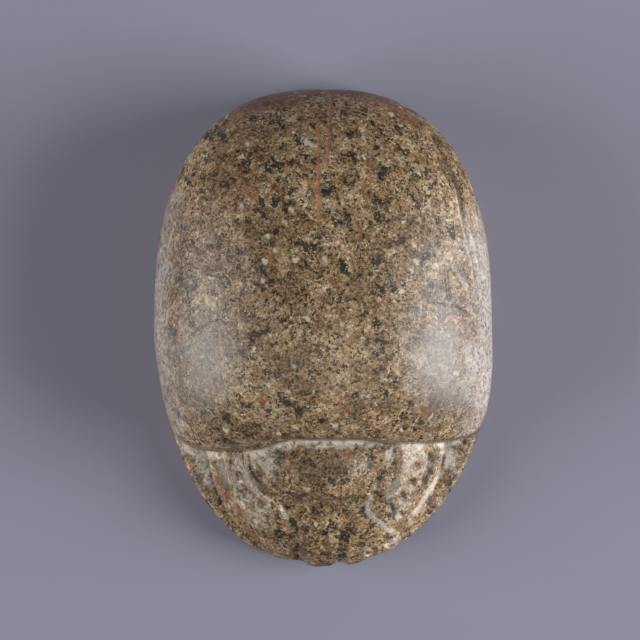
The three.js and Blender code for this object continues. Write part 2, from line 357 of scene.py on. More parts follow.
def stone_vertices():
    """The grid over the top, then rings of vertices down the flank and in under the base."""
    x, y, angle = cap_grid()
    n = CAP_STEPS
    z = top_height(x, y)
    y_cap = broken_front(x, y, 1.0)
    cap = np.stack([x, y_cap, z], axis=-1).reshape(-1, 3)

    grid = np.arange(n * n).reshape(n, n)
    rim = np.concatenate([grid[0, :-1], grid[:-1, -1], grid[-1, :0:-1], grid[:0:-1, 0]])
    turn = angle.reshape(-1)[rim]
    rows = [rim]
    points = [cap]
    total = n * n

    def add_row(row_x, row_y, row_z):
        nonlocal total
        points.append(np.stack([row_x, row_y, row_z], axis=-1))
        rows.append(np.arange(total, total + len(rim)))
        total += len(rim)

    for step in range(1, EDGE_ROWS + 1):
        share = CAP_SHARE + (1.0 - CAP_SHARE) * math.sin(step / EDGE_ROWS * math.pi / 2)
        row_x, row_y = plan_point(turn, np.full(turn.shape, share))
        add_row(row_x, broken_front(row_x, row_y, 1.0), top_height(row_x, row_y))

    edge_x, edge_y = plan_point(turn, np.ones(turn.shape))
    edge_z = top_height(edge_x, edge_y)
    flank = np.clip((edge_z - PLATE_TOP) / (WAIST - PLATE_TOP), 0.0, 1.0)
    frontness = smooth_step(*FRONT_BLEND, flank) * (edge_y < 0)
    side_inset, side_level = flank_profile()
    front_inset, front_level = front_profile(edge_z)
    reach = np.hypot(edge_x, edge_y)
    for row in range(FLANK_ROWS):
        above = max(0.0, side_level[row] - PLATE_TOP)
        side = min(side_level[row], PLATE_TOP) + above * flank
        level = side * (1 - frontness) + front_level[row] * frontness
        inset = side_inset[row] - leg_relief(edge_y, level) * (side_level[row] > PLATE_TOP)
        inset = np.maximum(inset, LEAST_INSET * (side_inset[row] > LEAST_INSET))
        inset = inset * (flank if above > 0.0 else 1.0)
        inset = inset * (1 - frontness) + front_inset[row] * frontness
        row_x = edge_x * (1.0 - inset / reach)
        row_y = edge_y * (1.0 - inset / reach)
        lips = smooth_step(*LIP_LEVELS, level)
        row_y = np.maximum(broken_front(row_x, row_y, lips), -PLATE_FRONT - LIP_OVERHANG * lips)
        add_row(row_x, row_y, level)
    points.append(np.array([[0.0, 0.0, 0.0]]))
    return np.concatenate(points), grid, rows


def stone_faces(grid, rows, centre):
    """Squares over the grid and between the rings, and a fan to the middle of the underside."""
    cap = np.stack([grid[:-1, :-1], grid[:-1, 1:], grid[1:, 1:], grid[1:, :-1]], axis=-1).reshape(-1, 4)
    faces = cap.tolist()
    for upper, lower in zip(rows[:-1], rows[1:]):
        faces += np.stack([upper, lower, np.roll(lower, -1), np.roll(upper, -1)], axis=-1).tolist()
    last = rows[-1]
    faces += [[a, centre, b] for a, b in zip(last.tolist(), np.roll(last, -1).tolist())]
    return faces


def stone_object():
    points, grid, rows = stone_vertices()
    mesh = bpy.data.meshes.new("scarab_stone")
    mesh.from_pydata((points * MM).tolist(), [], stone_faces(grid, rows, len(points) - 1))
    mesh.validate()
    mesh.update()
    mesh.shade_smooth()
    stone = bpy.data.objects.new("scarab_stone", mesh)
    bpy.context.scene.collection.objects.link(stone)
    return stone


# ---------------------------------------------------------------- node helpers
class Graph:
    """Adds nodes to a tree in few words: a link for a socket, a plain value for a setting."""

    def __init__(self, tree):
        self.tree = tree

    def add(self, kind, inputs=None, **settings):
        node = self.tree.nodes.new(kind)
        for name, value in settings.items():
            setattr(node, name, value)
        for key, value in (inputs or {}).items():
            if isinstance(value, bpy.types.NodeSocket):
                self.tree.links.new(value, node.inputs[key])
            else:
                node.inputs[key].default_value = value
        return node

    def math(self, operation, *values, clamp=False):
        node = self.add("ShaderNodeMath", dict(enumerate(values)), operation=operation, use_clamp=clamp)
        return node.outputs[0]

    def blend(self, share, first, second, how="MIX"):
        node = self.add("ShaderNodeMix", {"Factor": share}, data_type="RGBA", blend_type=how)
        for socket, value in zip(node.inputs[6:8], (first, second)):
            if isinstance(value, bpy.types.NodeSocket):
                self.tree.links.new(value, socket)
            else:
                socket.default_value = value
        return node.outputs[2]

    def span(self, value, low, high, out_low=0.0, out_high=1.0):
        inputs = {"Value": value, "From Min": low, "From Max": high, "To Min": out_low, "To Max": out_high}
        return self.add("ShaderNodeMapRange", inputs, interpolation_type="SMOOTHSTEP").outputs[0]

    def attribute(self, name):
        return self.add("ShaderNodeAttribute", attribute_name=name).outputs["Fac"]


def colour(red, green, blue):
    """A colour given in everyday 0-255 steps, as the linear values that a shader takes."""
    steps = (channel / 255 for channel in (red, green, blue))
    return tuple(c / 12.92 if c <= 0.04045 else ((c + 0.055) / 1.055) ** 2.4 for c in steps) + (1.0,)


# ---------------------------------------------------------------- strokes on the stone
STROKE_TIP = 0.45                    # a stroke's width, depth and strength at its ends, as shares
STROKE_TAPER = 0.15                  # share of its length over which it narrows
BLUNT_MARKS = ("bloom", "haze")      # strokes of these marks don't narrow
UPWARD_FADE = 0.2                    # how quickly a stroke fades where the stone turns away from above
LEVEL_FADE = 3.0                     # a set kept to a band of heights fades out over this much
LEVEL_SWAY = 4.0                     # unevenness of that band
ANY_LEVEL = (-20.0, 60.0)
SPOT_HALF = (0.15, 0.1)              # a spot is a stroke this long to each side of its middle

# Each stroke is laid out in plan: its places (x, y), how far it reaches to each side of its middle,
# how deep it is cut (below zero: how far it stands up), and how strongly it is marked.
ENGRAVED = (
    (((12.9, 23.4), (14.9, 20.0), (16.3, 16.4), (16.8, 13.4), (17.6, 10.3), (18.2, 7.9), (18.3, 5.5)),
     0.4, 0.36, 0.95),
    (((16.5, 12.6), (17.2, 9.6), (17.7, 6.4)), 0.28, 0.14, 0.2),
    (((-16.2, 20.9), (-17.0, 18.2), (-17.9, 14.4), (-18.8, 10.6), (-19.4, 7.5)), 0.3, 0.2, 0.2),
    (((-15.6, 20.7), (-16.5, 17.8), (-17.3, 14.0), (-18.1, 10.6), (-18.6, 7.0)), 0.28, 0.14, 0.1),
    (((14.6, 7.8), (14.8, 5.6), (15.0, 3.2)), 0.3, 0.16, 0.1),
    (((15.1, 7.5), (16.2, 6.1), (17.3, 4.2)), 0.28, 0.12, 0.1),
    (((8.5, 4.1), (11.0, 3.7), (14.7, 3.1), (15.9, 3.0), (16.9, 2.4), (17.7, 1.9)), 0.28, 0.08, 0.1),
    (((-16.4, 4.4), (-16.1, 2.8), (-15.9, 1.7), (-15.6, 0.3)), 0.32, 0.2, 0.15),
    (((-16.4, -1.0), (-15.0, 0.0), (-13.6, 0.8), (-10.1, 2.4)), 0.28, 0.07, 0.1),
)
FRONT_CUTS_AND_SHADE = (
    (((-9.3, -16.6), (-8.2, -18.2), (-6.9, -19.5), (-5.2, -20.4)), 0.5, 0.2, 0.7),
    (((-5.2, -20.4), (-3.0, -20.6), (-1.4, -20.8), (0.8, -21.0), (2.7, -20.7), (5.2, -20.3)),
     0.65, 0.4, 0.7),
    (((6.8, -17.7), (6.7, -18.5), (6.5, -19.3)), 0.65, 0.25, 0.55),
    (((-12.2, -15.8), (-12.3, -17.3), (-12.0, -18.3)), 0.9, 0.1, 0.6),
    # Painted shade: a dark line in the recess beside the right foreleg, where the leg's outer wall is in
    # shade.
    (((13.4, -14.9), (13.5, -16.2), (12.9, -17.8), (12.2, -19.4)), 0.7, 0.1, 0.7),
    # Painted shade: a broad dark patch over the head, with no cut, making the head darker as if less lit.
    (((-3.6, -16.6), (0.0, -17.1), (3.8, -16.5)), 3.6, 0.0, 0.8),
)
TEETH = (
    (((-10.4, -17.4), (-10.1, -18.3)), 0.55, 0.32, 0.35),
    (((-9.6, -19.3), (-9.2, -20.5)), 0.6, 0.36, 0.55),
    (((-7.8, -20.9), (-7.1, -21.6)), 0.45, 0.32, 0.5),
    (((-6.3, -20.9), (-6.0, -21.7)), 0.35, 0.25, 0.6),
    (((-6.9, -22.7), (-6.5, -23.3)), 0.4, 0.3, 0.6),
    (((-8.6, -22.9), (-8.2, -23.4)), 0.4, 0.25, 0.4),
    (((11.3, -16.2), (11.5, -17.2)), 0.55, 0.35, 0.7),
    (((10.7, -18.2), (10.9, -19.2)), 0.6, 0.42, 0.8),
    (((9.6, -19.9), (9.8, -20.8)), 0.55, 0.42, 0.75),
    (((8.1, -21.2), (8.4, -22.0)), 0.55, 0.4, 0.75),
    (((7.8, -22.6), (8.1, -22.8)), 0.45, 0.3, 0.8),
    (((9.3, -22.2), (9.6, -22.9)), 0.5, 0.32, 0.4),
)
STEP_DEPOSITS = (
    (((-9.4, -15.0), (-7.6, -14.8), (-6.4, -14.5)), 0.8, 0.0, 1.2),
    (((-6.4, -14.5), (-4.6, -13.85), (-2.8, -13.55), (0.0, -13.5), (4.5, -13.5), (7.0, -13.85)),
     1.05, 0.0, 1.3),
    (((8.6, -14.0), (10.4, -14.1), (12.4, -14.1)), 0.8, 0.0, 1.1),
)
CORNER_DEPOSITS = (
    (((-17.6, -13.7), (-16.6, -14.6), (-15.4, -15.1), (-14.2, -15.3), (-12.6, -15.3)), 0.7, 0.0, 1.3),
    (((13.4, -14.1), (14.8, -14.1), (16.0, -13.9), (17.0, -13.4)), 0.7, 0.0, 1.3),
)
DEPOSITS = (
    (((-15.3, -15.3), (-14.7, -16.4), (-14.2, -18.0), (-13.5, -19.6)), 1.0, 0.0, 1.0),
    (((-15.2, -15.3), (-13.4, -15.4), (-11.6, -15.6)), 0.8, 0.0, 1.1),
    (((-12.4, -15.8), (-11.9, -17.4), (-11.0, -19.2)), 1.2, 0.0, 0.4),
    (((-9.8, -16.2), (-8.9, -18.3), (-7.9, -19.8), (-6.2, -21.4)), 0.6, 0.0, 0.45),
    (((-11.0, -18.8), (-10.4, -20.8), (-9.0, -22.0), (-7.9, -24.2)), 0.5, 0.0, 0.5),
    (((-8.2, -14.9), (-7.6, -15.9), (-6.8, -17.0), (-5.6, -18.6)), 0.55, 0.0, 0.5),
    (((9.0, -14.0), (8.2, -14.5), (7.9, -15.5), (7.3, -16.3)), 0.5, 0.0, 0.8),
    (((9.9, -14.8), (11.4, -15.1), (10.4, -16.5), (9.5, -17.6)), 1.3, 0.0, 0.45),
    (((12.3, -14.6), (12.4, -16.2), (12.2, -17.6)), 0.45, 0.0, 0.8),
    (((14.9, -14.3), (15.3, -15.3), (15.5, -16.2), (14.9, -17.0)), 1.1, 0.0, 1.7),
    (((14.9, -16.9), (13.9, -18.3), (12.8, -20.0), (11.6, -21.8), (10.3, -23.8)), 0.5, 0.0, 0.9),
    (((6.0, -20.0), (5.4, -21.2), (5.4, -22.1), (6.3, -22.9), (7.2, -23.7), (8.2, -24.5), (9.2, -24.9)),
     0.5, 0.0, 0.85),
    (((9.0, -18.2), (8.4, -19.4), (7.4, -20.5)), 0.7, 0.0, 0.7),
    (((10.4, -21.3), (9.4, -21.4), (8.9, -23.6)), 0.5, 0.0, 0.5),
    (((5.6, -26.5), (5.9, -27.0)), 0.7, 0.0, 0.85),
    (((7.5, -26.4), (8.3, -25.9), (9.3, -25.4)), 0.5, 0.0, 0.85),
    (((-2.1, -23.6), (-1.9, -23.7)), 0.35, 0.0, 0.8),
    (((15.9, 16.4), (16.35, 13.4), (17.15, 10.3), (17.75, 7.9), (17.85, 5.9)), 0.35, 0.0, 0.6),
)
LEG_DUST = (
    (((10.8, -15.5), (10.2, -18.0), (9.2, -20.5), (7.8, -22.6)), 1.9, 0.0, 0.18),
    (((-10.5, -15.8), (-9.8, -18.5), (-8.3, -21.3), (-6.2, -24.0)), 1.8, 0.0, 0.2),
)
# Painted edge sheen: pale grey along both long edges of the back, stronger on the right, standing in for the
# side lamps' grazing highlight.
PAINTED_EDGE_SHEEN = (
    (((18.5, 13.0), (19.2, 10.0), (19.8, 6.0), (20.1, 0.0), (19.6, -7.0), (18.2, -12.2)), 3.2, 0.0, 0.5),
    (((-18.0, 16.0), (-19.3, 9.0), (-20.0, 2.0), (-19.6, -5.0), (-18.4, -10.0), (-17.6, -12.0)),
     2.4, 0.0, 0.45),
)
# Painted edge sheen: its brightest middle stretch on each side.
PAINTED_EDGE_SHEEN_CORE = (
    (((19.3, 9.5), (19.9, 3.0), (20.0, -2.0), (19.5, -8.0)), 3.6, 0.0, 0.92),
    (((-19.2, 9.0), (-19.9, 2.0), (-19.5, -6.0)), 2.6, 0.0, 0.7),
)
# Painted sheen: grey veils over the thorax's sides where the side lamps' broad highlights fall; the middle
# one greys the thorax's middle a little.
PAINTED_SHEEN_PATCHES = (
    (((-14.6, -2.5), (-14.2, -6.5)), 6.0, 0.0, 0.5),
    (((14.0, -3.0), (14.0, -7.0)), 6.5, 0.0, 0.6),
    (((-4.0, -5.0), (4.0, -5.0)), 7.5, 0.0, 0.15),
)
SEAM = (
    (((1.0, 28.4), (0.85, 25.5), (0.65, 22.5), (0.45, 19.4)), 0.36, 0.08, 0.9),
    (((-0.6, 26.0), (-0.5, 22.0), (-0.5, 17.0), (-0.4, 11.8)), 0.3, 0.08, 1.0),
)
STAINS = (
    (((-13.3, -18.7), (-12.7, -19.9), (-11.4, -21.3), (-9.9, -23.1), (-8.8, -25.0), (-7.4, -26.3),
      (-5.8, -27.0)), 0.7, 0.0, 0.3),
    (((3.0, -14.7), (3.2, -15.3)), 1.0, 0.0, 0.9),
    (((13.8, -19.8), (13.2, -20.7)), 0.6, 0.0, 0.5),
    (((9.2, -23.6), (9.7, -24.3)), 0.6, 0.0, 0.6),
)
TAIL_STAIN = (
    (((-12.0, 24.2), (-6.0, 27.6), (0.0, 28.8), (6.0, 27.6), (12.0, 24.2)), 1.7, 0.0, 0.7),
    (((-12.0, 21.0), (-9.0, 13.0)), 5.0, 0.0, 0.22),
)
# Painted shade: a dark band along the tail's rim, where the back turns away from the lamps.
TAIL_SHADE = (
    (((-11.0, 25.6), (-6.0, 28.2), (0.0, 29.0), (6.0, 28.2), (11.0, 25.6)), 1.3, 0.0, 0.62),
)

# Single grains and clots that stand out in the speckle: middle (x, y) and reach.
RUST_SPOTS = (
    (-11.6, -20.2, 1.1), (-10.2, -22.3, 0.9), (-9.1, -24.9, 0.8), (-13.0, -18.3, 0.7), (11.8, 20.2, 0.5),
    (10.0, 25.2, 0.4), (13.3, 16.7, 0.4), (-8.6, 16.0, 1.0), (-6.0, 17.0, 0.8), (5.6, 19.6, 0.9),
    (0.8, 5.8, 0.7), (4.4, 11.8, 0.6), (-7.2, -8.5, 0.8), (2.8, -9.4, 0.9), (12.0, -9.6, 0.6),
)
DARK_CLOTS = (
    (-12.4, 23.7, 1.6), (-13.6, 23.1, 1.1), (-8.4, 25.3, 0.8), (-5.4, 19.4, 1.7), (-6.4, 19.0, 1.1),
    (-9.2, 19.6, 0.9), (-11.6, 17.4, 1.1), (-16.1, 17.5, 0.8), (-14.3, 16.4, 0.7), (-3.0, 22.5, 0.9),
    (-1.2, 24.3, 0.8), (-7.3, 15.1, 0.7), (-5.7, 15.0, 0.7), (-3.6, 12.6, 0.8), (-7.1, 13.4, 0.6),
    (-16.7, 12.0, 0.7), (-15.2, 9.8, 1.1), (-13.2, 9.7, 0.8), (-11.4, 5.8, 0.9), (-7.0, 6.8, 0.7),
    (-1.8, 7.4, 0.9), (7.1, 23.3, 0.9), (8.9, 23.9, 0.7), (9.1, 21.6, 1.1), (3.5, 20.4, 1.0),
    (5.9, 24.6, 0.7), (6.9, 18.0, 0.8), (11.0, 15.0, 0.9), (6.3, 13.2, 0.9), (3.0, 13.4, 0.8),
    (15.1, 11.5, 1.0), (13.7, 10.0, 0.8), (12.2, 8.8, 0.9), (6.9, 4.6, 0.9), (2.5, 7.1, 1.2),
    (12.7, 5.3, 0.7), (2.6, -25.0, 1.3), (1.2, -23.6, 0.9), (-5.2, -25.6, 1.3), (-3.6, -23.4, 0.9),
    (3.4, -24.2, 1.0), (13.3, -15.8, 0.8), (13.0, -17.2, 0.9), (12.4, -18.4, 0.7),
    (-1.2, -16.2, 1.0), (1.0, -18.2, 0.8), (-4.2, -8.6, 0.8), (7.5, -7.6, 0.7), (-11.5, -10.4, 0.9),
)
PALE_GRAINS = (
    (-1.4, 21.9, 0.6), (-4.6, 18.2, 0.4), (-3.7, 14.0, 0.6), (-4.5, 12.6, 0.6), (-9.7, 14.6, 0.6),
    (-6.9, 8.0, 0.5), (0.2, 8.2, 0.6), (-5.6, 9.3, 0.45), (-7.1, 5.7, 0.5), (11.0, 8.0, 0.6),
    (13.5, 7.5, 0.55), (10.8, 9.9, 0.4), (11.7, -3.9, 0.55), (8.8, -5.2, 0.55), (-13.0, 2.9, 0.5),
    (-0.9, -23.6, 0.4), (-9.0, 22.0, 0.35), (4.8, 22.8, 0.35), (2.2, 0.6, 0.4), (-3.4, -4.4, 0.4),
)


def spots(table, amount=1.0, swell=1.0):
    """A short stroke for each spot."""
    dx, dy = SPOT_HALF
    return [(((x - dx, y - dy), (x + dx, y + dy)), reach * swell, 0.0, amount) for x, y, reach in table]


def stroke_lines(name, strokes, is_blunt):
    """A set of strokes as bare lines on z = 0 that carry their reach, depth and amount."""
    points, edges, values = [], [], []
    for places, reach, depth, amount in strokes:
        line = rounded_path(places)
        start = len(points)
        steps = np.arange(len(line))
        ends = np.minimum(steps, steps[::-1]) / max(1.0, len(line) * STROKE_TAPER)
        tip = 1.0 if is_blunt else STROKE_TIP
        taper = tip + (1.0 - tip) * np.clip(ends, 0.0, 1.0)
        points += [(x * MM, y * MM, 0.0) for x, y in line]
        edges += [(start + i, start + i + 1) for i in range(len(line) - 1)]
        values += [(reach * MM * t, depth * MM * t, amount * t) for t in taper]
    mesh = bpy.data.meshes.new(name)
    mesh.from_pydata(points, edges, [])
    for column, attribute in enumerate(("reach", "depth", "amount")):
        data = mesh.attributes.new(attribute, "FLOAT", "POINT").data
        data.foreach_set("value", [value[column] for value in values])
    lines = bpy.data.objects.new(name, mesh)
    bpy.context.scene.collection.objects.link(lines)
    return lines


def stroke_tree():
    """Presses strokes into the upper side of a stone and marks where they run."""
    tree = bpy.data.node_groups.new("carved_strokes", "GeometryNodeTree")
    sockets = (("Stone", "INPUT", "NodeSocketGeometry"), ("Strokes", "INPUT", "NodeSocketObject"),
               ("Mark", "INPUT", "NodeSocketString"), ("Flatness", "INPUT", "NodeSocketFloat"),
               ("Least Upward", "INPUT", "NodeSocketFloat"), ("Lowest", "INPUT", "NodeSocketFloat"),
               ("Highest", "INPUT", "NodeSocketFloat"),
               ("Raggedness", "INPUT", "NodeSocketFloat"), ("Raggedness Size", "INPUT", "NodeSocketFloat"),
               ("Seed", "INPUT", "NodeSocketFloat"), ("Material", "INPUT", "NodeSocketMaterial"),
               ("Stone", "OUTPUT", "NodeSocketGeometry"))
    for name, side, kind in sockets:
        tree.interface.new_socket(name, in_out=side, socket_type=kind)
    g = Graph(tree)
    given = g.add("NodeGroupInput").outputs
    lines = g.add("GeometryNodeObjectInfo", {"Object": given["Strokes"]}).outputs["Geometry"]
    place = g.add("GeometryNodeInputPosition").outputs[0]
    plan = g.add("ShaderNodeVectorMath", {0: place, 1: (1.0, 1.0, 0.0)}, operation="MULTIPLY").outputs[0]
    nearest = g.add("GeometryNodeProximity", {0: lines, "Sample Position": plan}, target_element="EDGES")
    inputs = {"Geometry": lines, "Sample Position": nearest.outputs["Position"]}
    index = g.add("GeometryNodeSampleNearest", inputs)

    def carried(name):
        value = g.add("GeometryNodeInputNamedAttribute", {"Name": name}, data_type="FLOAT")
        inputs = {"Geometry": lines, "Value": value.outputs["Attribute"], "Index": index.outputs[0]}
        return g.add("GeometryNodeSampleIndex", inputs, data_type="FLOAT", domain="POINT").outputs[0]

    reach = carried("reach")
    per_mm = g.math("DIVIDE", 1.0 / MM, given["Raggedness Size"])
    noise = g.add("ShaderNodeTexNoise", {"Vector": place, "Scale": per_mm, "W": given["Seed"], "Detail": 2.0},
                  noise_dimensions="4D").outputs[0]
    ragged = g.math("MULTIPLY", g.math("SUBTRACT", noise, 0.5), given["Raggedness"])
    apart = g.math("ADD", g.math("DIVIDE", nearest.outputs["Distance"], reach), ragged)
    press = g.span(apart, given["Flatness"], 1.0, 1.0, 0.0)
    normal = g.add("GeometryNodeInputNormal").outputs[0]
    upward = g.add("ShaderNodeSeparateXYZ", {0: normal}).outputs[2]
    facing = g.span(upward, given["Least Upward"], g.math("ADD", given["Least Upward"], UPWARD_FADE))
    level = g.add("ShaderNodeSeparateXYZ", {0: place}).outputs[2]
    level = g.math("MULTIPLY_ADD", g.math("SUBTRACT", noise, 0.5), LEVEL_SWAY, g.math("DIVIDE", level, MM))
    above = g.span(level, g.math("SUBTRACT", given["Lowest"], LEVEL_FADE), given["Lowest"])
    below = g.span(level, g.math("ADD", given["Highest"], LEVEL_FADE), given["Highest"])
    press = g.math("MULTIPLY", g.math("MULTIPLY", press, facing), g.math("MULTIPLY", above, below))

    sink = g.math("MULTIPLY", g.math("MULTIPLY", carried("depth"), press), -1.0)
    move = g.add("ShaderNodeVectorMath", {0: normal, "Scale": sink}, operation="SCALE").outputs[0]
    old = g.add("GeometryNodeInputNamedAttribute", {"Name": given["Mark"]}, data_type="FLOAT")
    mark = g.math("MAXIMUM", old.outputs["Attribute"], g.math("MULTIPLY", carried("amount"), press))
    marked = g.add("GeometryNodeStoreNamedAttribute",
                   {"Geometry": given["Stone"], "Name": given["Mark"], "Value": mark},
                   data_type="FLOAT", domain="POINT")
    carved = g.add("GeometryNodeSetPosition", {"Geometry": marked.outputs[0], "Offset": move})
    whole = g.add("GeometryNodeRealizeInstances", {"Geometry": carved.outputs[0]})
    coated = g.add("GeometryNodeSetMaterial", {"Geometry": whole.outputs[0], "Material": given["Material"]})
    g.add("NodeGroupOutput", {"Stone": coated.outputs[0]})
    return tree


WEAR_RANGE = (0.25, 0.75)            # the wear deepens as its noise rises between these values
DENT_RANGE = (0.45, 0.8)             # and so do the dents
PIT_WALL = (0.45, 0.1)               # a pit's edge and bottom, as shares of its size
PIT_CHANCE = (0.7, 0.85)             # a pit is there where a random draw is above these
FOOT_FADE = 0.8                      # the wear begins over this height above the underside


def wear_tree():
    """Rubs a stone down unevenly, with shallow dents and small pits, never outwards."""
    tree = bpy.data.node_groups.new("worn_surface", "GeometryNodeTree")
    sockets = (("Stone", "INPUT", "NodeSocketGeometry"), ("Wear Depth", "INPUT", "NodeSocketFloat"),
               ("Wear Size", "INPUT", "NodeSocketFloat"), ("Dent Depth", "INPUT", "NodeSocketFloat"),
               ("Dent Size", "INPUT", "NodeSocketFloat"), ("Pit Depth", "INPUT", "NodeSocketFloat"),
               ("Pit Size", "INPUT", "NodeSocketFloat"), ("Seed", "INPUT", "NodeSocketFloat"),
               ("Material", "INPUT", "NodeSocketMaterial"), ("Stone", "OUTPUT", "NodeSocketGeometry"))
    for name, side, kind in sockets:
        tree.interface.new_socket(name, in_out=side, socket_type=kind)
    g = Graph(tree)
    given = g.add("NodeGroupInput").outputs
    place = g.add("GeometryNodeInputPosition").outputs[0]

    def unevenness(size, low, high, detail):
        inputs = {"Vector": place, "W": given["Seed"], "Detail": detail}
        inputs["Scale"] = g.math("DIVIDE", 1.0 / MM, given[size])
        noise = g.add("ShaderNodeTexNoise", inputs, noise_dimensions="4D").outputs[0]
        return g.span(noise, low, high)

    worn = g.math("MULTIPLY", unevenness("Wear Size", *WEAR_RANGE, 1.0), given["Wear Depth"])
    dents = g.math("MULTIPLY", unevenness("Dent Size", *DENT_RANGE, 2.0), given["Dent Depth"])
    scale = g.math("DIVIDE", 1.0 / MM, given["Pit Size"])
    cells = g.add("ShaderNodeTexVoronoi", {"Vector": place, "Scale": scale, "W": given["Seed"]},
                  voronoi_dimensions="4D")
    chance = g.add("ShaderNodeSeparateXYZ", {0: cells.outputs["Color"]}).outputs[0]
    pit = g.math("MULTIPLY", g.span(cells.outputs["Distance"], *PIT_WALL), g.span(chance, *PIT_CHANCE))
    pits = g.math("MULTIPLY", pit, given["Pit Depth"])
    total = g.math("MULTIPLY", g.math("ADD", g.math("ADD", worn, dents), pits), -MM)
    normal = g.add("GeometryNodeInputNormal").outputs[0]
    height = g.add("ShaderNodeSeparateXYZ", {0: place}).outputs[2]
    total = g.math("MULTIPLY", total, g.span(height, 0.0, FOOT_FADE * MM))
    move = g.add("ShaderNodeVectorMath", {0: normal, "Scale": total}, operation="SCALE").outputs[0]
    moved = g.add("GeometryNodeSetPosition", {"Geometry": given["Stone"], "Offset": move})
    whole = g.add("GeometryNodeRealizeInstances", {"Geometry": moved.outputs[0]})
    coated = g.add("GeometryNodeSetMaterial", {"Geometry": whole.outputs[0], "Material": given["Material"]})
    g.add("NodeGroupOutput", {"Stone": coated.outputs[0]})
    return tree


def add_nodes(piece, tree, **values):
    """Puts a node tree on a piece and sets its named inputs."""
    modifier = piece.modifiers.new(tree.name, "NODES")
    modifier.node_group = tree
    for socket in tree.interface.items_tree:
        key = socket.name.replace(" ", "_")
        if socket.in_out == "INPUT" and key in values:
            modifier[socket.identifier] = values[key]


def made_plain(piece):
    """Turns a piece's evaluated shape into its own plain mesh and takes its modifiers off."""
    evaluated = piece.evaluated_get(bpy.context.evaluated_depsgraph_get())
    mesh = bpy.data.meshes.new_from_object(evaluated)
    piece.modifiers.clear()
    piece.data = mesh
    mesh.name = piece.name


# The sets of strokes in the order they are laid down: name, strokes, the mark they leave, share of
# the width that is flat, raggedness of the edge and its size, least upward slant, and heights.
STROKE_SETS = (
    ("engraved", ENGRAVED, "grime", 0.0, 0.5, 0.9, -0.05, ANY_LEVEL),
    ("front_cuts", FRONT_CUTS_AND_SHADE, "grime", 0.1, 0.5, 0.9, 0.1, ANY_LEVEL),
    ("teeth", TEETH, "grime", 0.2, 0.4, 0.7, 0.1, ANY_LEVEL),
    ("seam", SEAM, "seam", 0.25, 0.55, 0.7, -0.05, ANY_LEVEL),
    ("step_deposits", STEP_DEPOSITS, "deposit", 0.1, 1.7, 0.9, -0.08, (0.0, 11.4)),
    ("corner_deposits", CORNER_DEPOSITS, "deposit", 0.1, 1.2, 0.9, -0.08, (0.0, 5.5)),
    ("deposits", DEPOSITS, "deposit", 0.1, 1.2, 0.8, 0.2, ANY_LEVEL),
    ("leg_dust", LEG_DUST, "deposit", 0.3, 0.8, 1.2, 0.3, ANY_LEVEL),
    # painted edge sheen: pale grey highlight painted along the back's edges
    ("bloom", PAINTED_EDGE_SHEEN, "bloom", 0.0, 1.5, 2.6, -0.1, (11.0, 60.0)),
    ("bloom_core", PAINTED_EDGE_SHEEN_CORE, "bloom", 0.0, 1.5, 2.6, -0.1, (11.0, 60.0)),
    # painted sheen: grey veils for the thorax's broad highlights
    ("haze", PAINTED_SHEEN_PATCHES, "haze", 0.0, 0.7, 3.0, -0.6, (10.0, 60.0)),
    ("stains", STAINS, "stain", 0.1, 1.0, 0.8, 0.3, ANY_LEVEL),
    ("tail_stain", TAIL_STAIN, "stain", 0.0, 1.0, 1.5, -0.6, (7.0, 60.0)),
    # painted shade along the tail's rim
    ("tail_grime", TAIL_SHADE, "grime", 0.0, 1.0, 1.5, -0.6, (7.0, 60.0)),
    ("rust_spots", spots(RUST_SPOTS, 1.5, 1.2), "stain", 0.2, 1.0, 0.7, -0.6, ANY_LEVEL),
    ("dark_clots", spots(DARK_CLOTS, 1.0, 1.2), "clot", 0.35, 1.6, 1.3, -1.0, ANY_LEVEL),
    ("pale_grains", spots(PALE_GRAINS), "pale", 0.5, 0.7, 0.6, -1.0, ANY_LEVEL),
)


def carve(stone, material):
    """Lays the sets of strokes on the stone, wears it down and turns it into a plain mesh."""
    strokes = stroke_tree()
    wear = wear_tree()
    helpers = []
    for seed, (name, table, mark, flat, raggedness, size, upward, levels) in enumerate(STROKE_SETS):
        helpers.append(stroke_lines(name + "_strokes", table, mark in BLUNT_MARKS))
        add_nodes(stone, strokes, Strokes=helpers[-1], Mark=mark, Flatness=flat, Raggedness=raggedness,
                  Raggedness_Size=size, Least_Upward=upward, Lowest=levels[0], Highest=levels[1],
                  Seed=float(seed), Material=material)
    add_nodes(stone, wear, Wear_Depth=0.1, Wear_Size=7.0, Dent_Depth=0.05, Dent_Size=1.3,
              Pit_Depth=0.06, Pit_Size=0.9, Seed=3.0, Material=material)
    made_plain(stone)
    for helper in helpers:
        bpy.data.objects.remove(helper)


# ---------------------------------------------------------------- the stone's finish
GRAIN_TONES = (
    (0.00, (40, 29, 18)), (0.16, (66, 50, 32)), (0.30, (93, 72, 47)), (0.44, (118, 94, 64)),
    (0.58, (142, 115, 82)), (0.72, (162, 136, 102)), (0.86, (182, 157, 124)), (1.00, (210, 192, 162)),
)
TONE_MIDDLE = 0.58                   # the stone's middle tone, as a place on the ramp above
FINE_GRAIN = 0.15                    # sizes of the grains
MIDDLE_GRAIN = 0.3
COARSE_GRAIN = 0.8
PEPPER_GRAIN = 0.24
CREAM_GRAIN = 1.6129
# Tints darken the stone under them, coats cover it: a colour and how strongly it shows.
RUST_TINT = ((0.94, 0.66, 0.43, 1.0), 0.7)
ROSE_TINT = ((0.98, 0.80, 0.71, 1.0), 0.65)
OLIVE_TINT = ((0.90, 0.90, 0.68, 1.0), 0.7)
SLATE_TINT = ((0.74, 0.86, 0.98, 1.0), 0.8)
STAIN_TINT = ((0.82, 0.58, 0.42, 1.0), 0.6)
PEPPER = (colour(18, 16, 11), 0.88)
DARK_GREEN = (colour(17, 22, 17), 0.9)
CREAM = (colour(208, 193, 165), 1.0)
